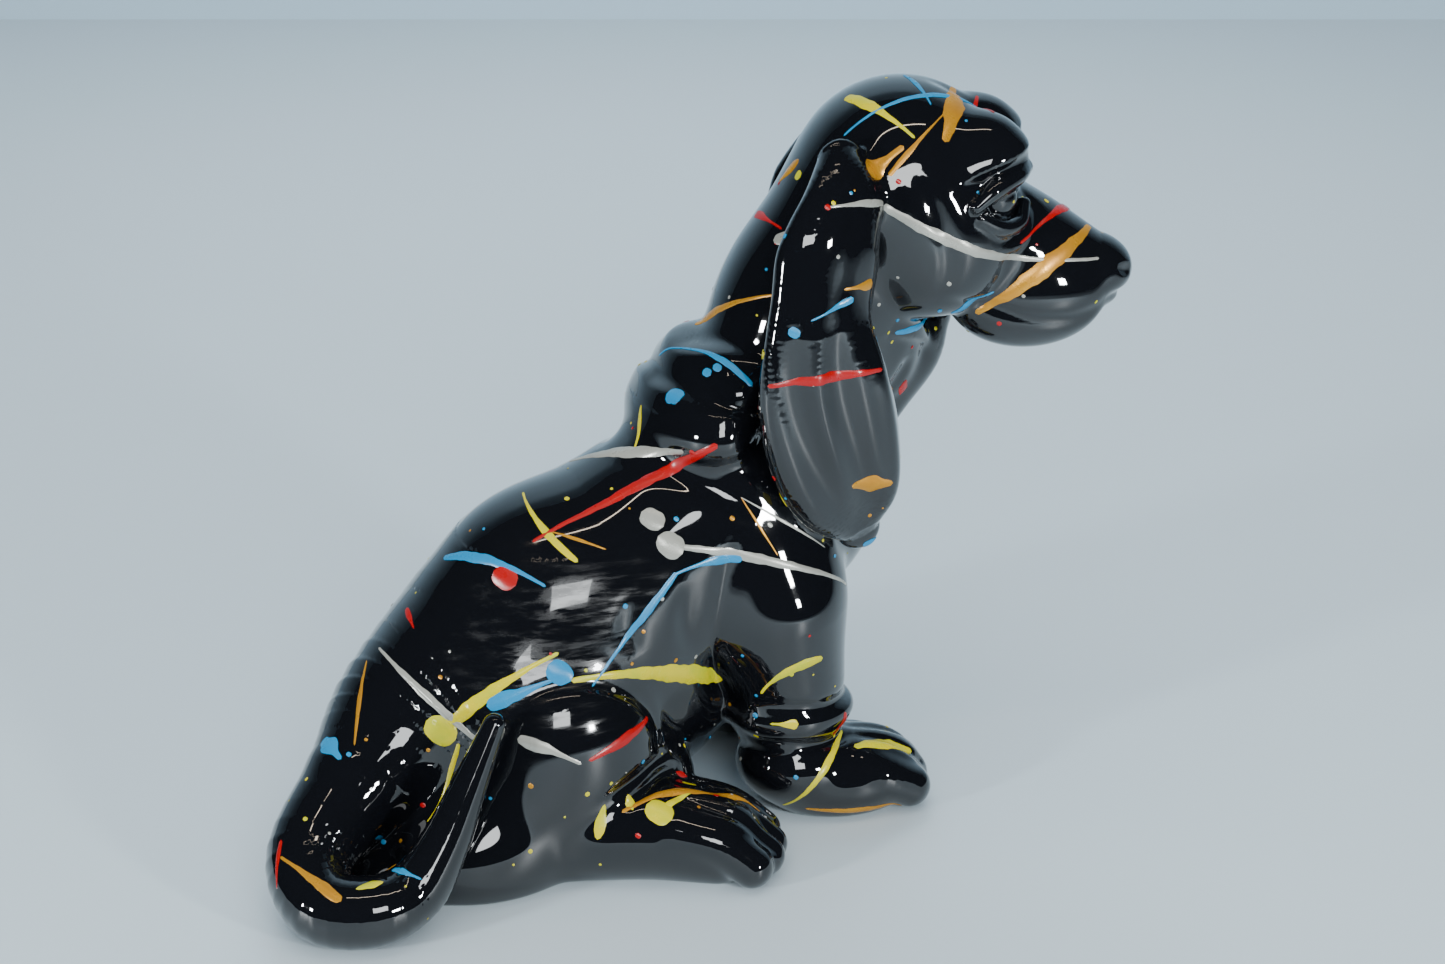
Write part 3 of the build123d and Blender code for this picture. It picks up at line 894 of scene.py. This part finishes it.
def make_glaze():
    """Black glaze, mirror bright, with wiping marks over the haunch and a bare underside."""
    material, shader, add, link = new_material("black_glaze")
    shader.inputs["IOR"].default_value = 1.52
    shader.inputs["Coat Roughness"].default_value = 0.02
    place = add("ShaderNodeTexCoord")
    height = add("ShaderNodeSeparateXYZ")
    link(place.outputs["Object"], height.inputs["Vector"])
    sole = to_row(np.zeros(3))[2]
    glazed = add("ShaderNodeMapRange", From_Min=sole + 0.0006, From_Max=sole + 0.0012)
    link(height.outputs["Z"], glazed.inputs["Value"])
    body = add("ShaderNodeMixRGB", Color1=(0.46, 0.43, 0.38, 1), Color2=(0.0035, 0.004, 0.0055, 1))
    link(glazed.outputs["Result"], body.inputs["Fac"])
    link(body.outputs["Color"], shader.inputs["Base Color"])
    coat = add("ShaderNodeMath")
    coat.operation = "MULTIPLY"
    coat.inputs[1].default_value = 0.6
    link(glazed.outputs["Result"], coat.inputs[0])
    link(coat.outputs["Value"], shader.inputs["Coat Weight"])
    smears = add("ShaderNodeMapping", Rotation=(0.3, 0.2, 0.5), Scale=(4, 1, 9))
    link(place.outputs["Object"], smears.inputs["Vector"])
    wipe = add("ShaderNodeTexNoise", Scale=34.0, Detail=6.0, Roughness=0.65)
    link(smears.outputs["Vector"], wipe.inputs["Vector"])
    gap = add("ShaderNodeVectorMath")
    gap.operation = "DISTANCE"
    gap.inputs[1].default_value = to_row(WIPED)
    link(place.outputs["Object"], gap.inputs[0])
    wiped = add("ShaderNodeMapRange", From_Min=0.055, From_Max=0.02)
    link(gap.outputs["Value"], wiped.inputs["Value"])
    streaks = add("ShaderNodeMapRange", From_Min=0.42, From_Max=0.66, To_Min=0.03, To_Max=0.42)
    link(wipe.outputs["Fac"], streaks.inputs["Value"])
    spread = add("ShaderNodeMix")
    spread.inputs[2].default_value = 0.035
    link(wiped.outputs["Result"], spread.inputs[0])
    link(streaks.outputs["Result"], spread.inputs[3])
    rough = add("ShaderNodeMix")
    rough.inputs[2].default_value = 0.85
    link(glazed.outputs["Result"], rough.inputs[0])
    link(spread.outputs[0], rough.inputs[3])
    link(rough.outputs[0], shader.inputs["Roughness"])
    waves = add("ShaderNodeTexNoise", Scale=55.0, Detail=2.0)
    link(place.outputs["Object"], waves.inputs["Vector"])
    bump = add("ShaderNodeBump", Strength=0.06, Distance=0.001)
    link(waves.outputs["Fac"], bump.inputs["Height"])
    link(bump.outputs["Normal"], shader.inputs["Normal"])
    return material


# Each enamel's main and second tint, how much of the second shows, and how metallic it is.
ENAMELS = {
    "yellow": ((0.56, 0.47, 0.0), (0.26, 0.38, 0.005), 0.55, 0.0),
    "gold": ((0.52, 0.24, 0.012), (0.36, 0.12, 0.006), 0.45, 0.35),
    "silver": ((0.36, 0.36, 0.32), (0.24, 0.24, 0.22), 0.4, 0.25),
    "red": ((0.36, 0.0, 0.001), (0.22, 0.0, 0.001), 0.4, 0.0),
    "blue": ((0.0, 0.21, 0.43), (0.0, 0.13, 0.33), 0.4, 0.0),
}


def make_enamel(colour):
    """Enamel flung over the glaze: cloudy, thin in places and slightly dimpled."""
    main, second, share, metallic = ENAMELS[colour]
    material, shader, add, link = new_material("enamel_" + colour)
    place = add("ShaderNodeTexCoord")
    cloud = add("ShaderNodeTexNoise", Scale=90.0, Detail=4.0, Roughness=0.6)
    link(place.outputs["Object"], cloud.inputs["Vector"])
    mixed = add("ShaderNodeMapRange", From_Min=0.4, From_Max=0.7, To_Max=share)
    link(cloud.outputs["Fac"], mixed.inputs["Value"])
    tint = add("ShaderNodeMixRGB", Color1=(*main, 1), Color2=(*second, 1))
    link(mixed.outputs["Result"], tint.inputs["Fac"])
    link(tint.outputs["Color"], shader.inputs["Base Color"])
    sheen = add("ShaderNodeMapRange", From_Min=0.3, From_Max=0.7, To_Min=0.2, To_Max=0.38)
    link(cloud.outputs["Fac"], sheen.inputs["Value"])
    link(sheen.outputs["Result"], shader.inputs["Roughness"])
    shader.inputs["Metallic"].default_value = metallic
    dimples = add("ShaderNodeTexNoise", Scale=600.0, Detail=2.0)
    link(place.outputs["Object"], dimples.inputs["Vector"])
    bump = add("ShaderNodeBump", Strength=0.12, Distance=0.0004)
    link(dimples.outputs["Fac"], bump.inputs["Height"])
    link(bump.outputs["Normal"], shader.inputs["Normal"])
    return material


glaze = make_glaze()
castings = make_castings()
for node, piece in castings.items():
    piece.data.materials.append(glaze)
    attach(piece, "root")
    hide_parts(node)


for colour, piece in make_paint(flung_strokes() + chance_strokes(CHANCE_STROKES)).items():
    piece.data.materials.append(make_enamel(colour))
    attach(piece, "root")


# ------------------------------------------------------------------ floor, light, camera
CAMERA_DISTANCE = 1050
CAMERA_TARGET = spot(0, 0, 130)
LENS = 65


def plain_material(name, color, roughness):
    """Matt paint or stone with a little mottling."""
    material, shader, add, link = new_material(name)
    mottle = add("ShaderNodeTexNoise", Scale=9.0, Detail=6.0)
    tint = add("ShaderNodeMixRGB", Color1=(*color, 1), Color2=(*[c * 0.93 for c in color], 1))
    link(mottle.outputs["Fac"], tint.inputs["Fac"])
    link(tint.outputs["Color"], shader.inputs["Base Color"])
    shader.inputs["Roughness"].default_value = roughness
    return material


def make_plane(name, corners, material):
    mesh = bpy.data.meshes.new(name)
    mesh.from_pydata(corners, [], [(0, 1, 2, 3)])
    mesh.materials.append(material)
    obj = bpy.data.objects.new(name, mesh)
    bpy.context.scene.collection.objects.link(obj)
    return obj


WALL_AWAY = 1500        # from the hound's middle to the wall, beyond any view of its far side


def make_stage():
    floor = to_row(np.zeros(3))[2]
    make_plane("floor", [(-4, -4, floor), (4, -4, floor), (4, 4, floor), (-4, 4, floor)],
               plain_material("pale_floor", (0.55, 0.65, 0.71), 0.5))
    away = -view_axis(CAMERA_SIDE)
    along = np.array([-away[1], away[0], 0])
    wall = to_row(away * WALL_AWAY)
    corners = [wall + along * s * 4 + np.array([0, 0, z]) for s, z in
               ((-1, -0.1), (1, -0.1), (1, 4), (-1, 4))]
    make_plane("wall", [tuple(c) for c in corners],
               plain_material("pale_wall", (0.50, 0.67, 0.80), 0.7))


def make_light(name, side, rise, distance, width, height, power, color, mirrored):
    """A soft box aimed at the middle of the hound, which the glaze may mirror."""
    data = bpy.data.lights.new(name, "AREA")
    data.shape = "RECTANGLE"
    data.size = width
    data.size_y = height
    data.energy = power
    data.color = color
    obj = bpy.data.objects.new(name, data)
    bpy.context.scene.collection.objects.link(obj)
    obj.visible_glossy = mirrored
    obj.visible_camera = False
    middle = Vector(to_row(CAMERA_TARGET))
    obj.location = middle + Vector(view_axis(side, rise)) * distance
    obj.rotation_euler = (middle - obj.location).to_track_quat("-Z", "Y").to_euler()


def make_camera():
    data = bpy.data.cameras.new("camera")
    data.lens = LENS
    camera = bpy.data.objects.new("camera", data)
    bpy.context.scene.collection.objects.link(camera)
    back = view_axis(CAMERA_SIDE, CAMERA_RISE)
    middle = Vector(to_row(CAMERA_TARGET))
    camera.location = middle + Vector(back) * CAMERA_DISTANCE * MM
    camera.rotation_euler = Vector(back).to_track_quat("Z", "Y").to_euler()
    bpy.context.scene.camera = camera


DAYLIGHT = (0.94, 0.98, 1.0)
WARM = (1.0, 0.84, 0.66)
# Name, side and rise in degrees, distance, width and height in metres, watts, colour and
# whether the glaze mirrors it.
LIGHTS = [
    ("window", 257, 27, 1.4, 0.42, 0.34, 6, DAYLIGHT, True),
    ("left_lamp", 288, 13, 1.6, 0.14, 0.14, 17, DAYLIGHT, True),
    ("right_lamp", 194, 11, 1.6, 0.14, 0.14, 17, DAYLIGHT, True),
    ("tube", 260, 75, 1.8, 1.2, 0.03, 2.5, WARM, True),
    ("ceiling", 246, 80, 2.2, 3.0, 3.0, 48, DAYLIGHT, False),
    ("room", 250, 25, 2.6, 3.0, 2.0, 28, DAYLIGHT, False),
    ("far_side", 70, 40, 1.4, 1.0, 0.8, 9, DAYLIGHT, False),
]
make_stage()
for light in LIGHTS:
    make_light(*light)
make_camera()
world = bpy.data.worlds.new("room")
world.use_nodes = True
world.node_tree.nodes["Background"].inputs["Color"].default_value = (0.5, 0.55, 0.6, 1)
world.node_tree.nodes["Background"].inputs["Strength"].default_value = 0.03
bpy.context.scene.world = world
